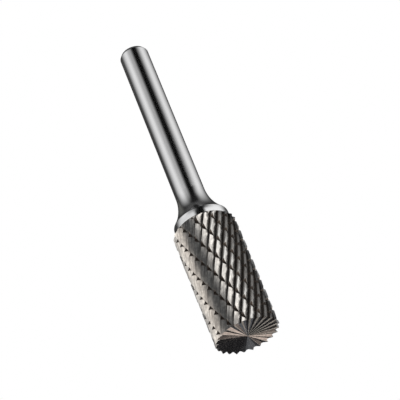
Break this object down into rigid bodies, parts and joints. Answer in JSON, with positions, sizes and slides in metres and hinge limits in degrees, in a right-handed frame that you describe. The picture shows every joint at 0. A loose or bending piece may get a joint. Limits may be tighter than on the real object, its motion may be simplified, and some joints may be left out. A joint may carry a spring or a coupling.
{
  "type": "carbide burr",
  "caption": "Cylindrical tungsten carbide burr with an end cut, double-cut side teeth and a plain round steel shank for a die grinder's collet.",
  "frame": {"origin": "centre of the cutting end face, in the plane of the end teeth's edges", "axes": "+Z along the axis of rotation, from the cutting end to the rear end of the shank"},
  "size_m": [0.0128, 0.0128, 0.07],
  "materials": {
    "carbide": "ground",
    "steel": "polished"
  },
  "bodies": {
    "root": {"cutting_head": "carbide", "shank": "steel"}
  },
  "joints": []
}
